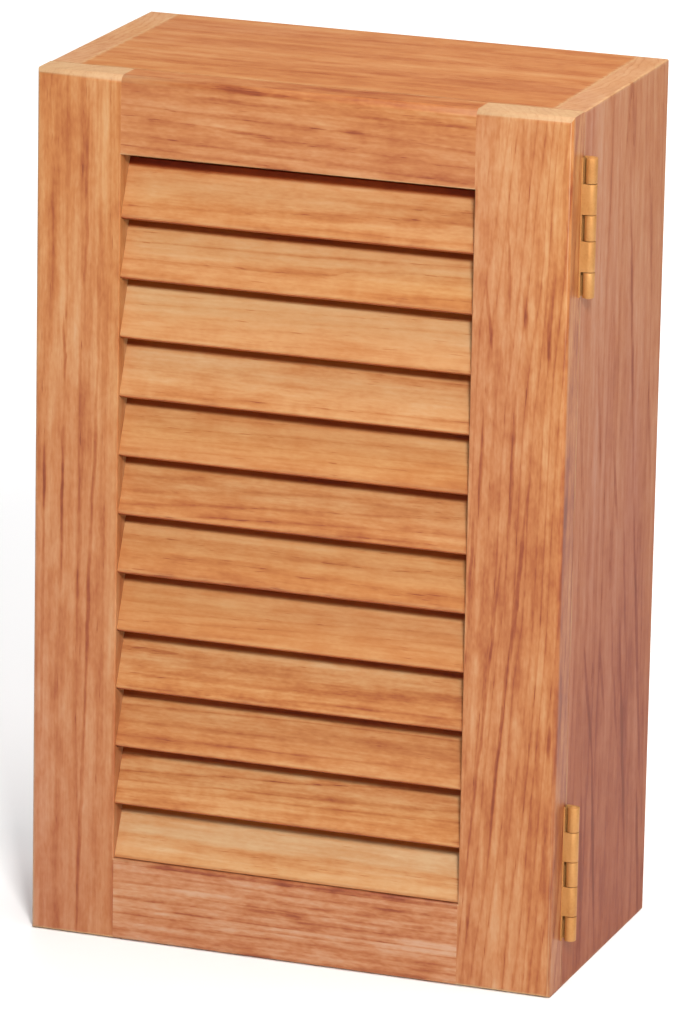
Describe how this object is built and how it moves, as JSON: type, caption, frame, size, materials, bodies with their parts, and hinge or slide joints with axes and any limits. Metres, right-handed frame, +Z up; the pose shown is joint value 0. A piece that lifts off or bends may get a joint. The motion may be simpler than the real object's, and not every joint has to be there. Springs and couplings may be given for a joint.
{
  "type": "louvred door cabinet",
  "caption": "Small upright teak cabinet with shelves inside and one full-front louvred door hung on brass butt hinges at the right side.",
  "frame": {"origin": "on the floor under the middle of the case (the boards without the door)", "axes": "+Z up, +X to the right as one faces the door, +Y to the back; the door is on the -Y side"},
  "size_m": [0.2872, 0.1536, 0.45],
  "materials": {
    "teak": "oiled satin",
    "slat_teak": "oiled satin",
    "teak_ply": "oiled satin",
    "dowel_beech": "plain",
    "brass": "satin",
    "catch_plastic": "moulded",
    "ferrite": "ground",
    "steel": "zinc plated"
  },
  "bodies": {
    "case": {"left_side_board": "teak", "right_side_board": "teak", "top_board": "teak", "bottom_board": "teak", "back_panel": "teak_ply", "lower_mounting_rail": "teak", "upper_mounting_rail": "teak", "carcass_dowels": "dowel_beech", "back_panel_screws": "brass", "lower_shelf": "teak", "upper_shelf": "teak", "shelf_pegs": "brass", "lower_hinge_case_leaf": "brass", "upper_hinge_case_leaf": "brass", "lower_hinge_pin": "brass", "upper_hinge_pin": "brass", "case_leaf_screws": "brass", "catch_body": "catch_plastic", "catch_magnet": "ferrite", "catch_pole_plates": "steel", "catch_screws": "brass"},
    "door": {"left_stile": "teak", "right_stile": "teak", "bottom_rail": "teak", "top_rail": "teak", "louvre_slat_01": "slat_teak", "louvre_slat_02": "slat_teak", "louvre_slat_03": "slat_teak", "louvre_slat_04": "slat_teak", "louvre_slat_05": "slat_teak", "louvre_slat_06": "slat_teak", "louvre_slat_07": "slat_teak", "louvre_slat_08": "slat_teak", "louvre_slat_09": "slat_teak", "louvre_slat_10": "slat_teak", "louvre_slat_11": "slat_teak", "louvre_slat_12": "slat_teak", "lower_hinge_door_leaf": "brass", "upper_hinge_door_leaf": "brass", "door_leaf_screws": "brass", "catch_strike_plate": "steel", "strike_plate_screws": "brass"}
  },
  "joints": [
    {"name": "door_hinge", "type": "hinge", "parent": "case", "child": "door", "pos_m": [0.1442, -0.0678, 0.225], "axis": [0, 0, 1], "range_deg": [0, 180]}
  ]
}
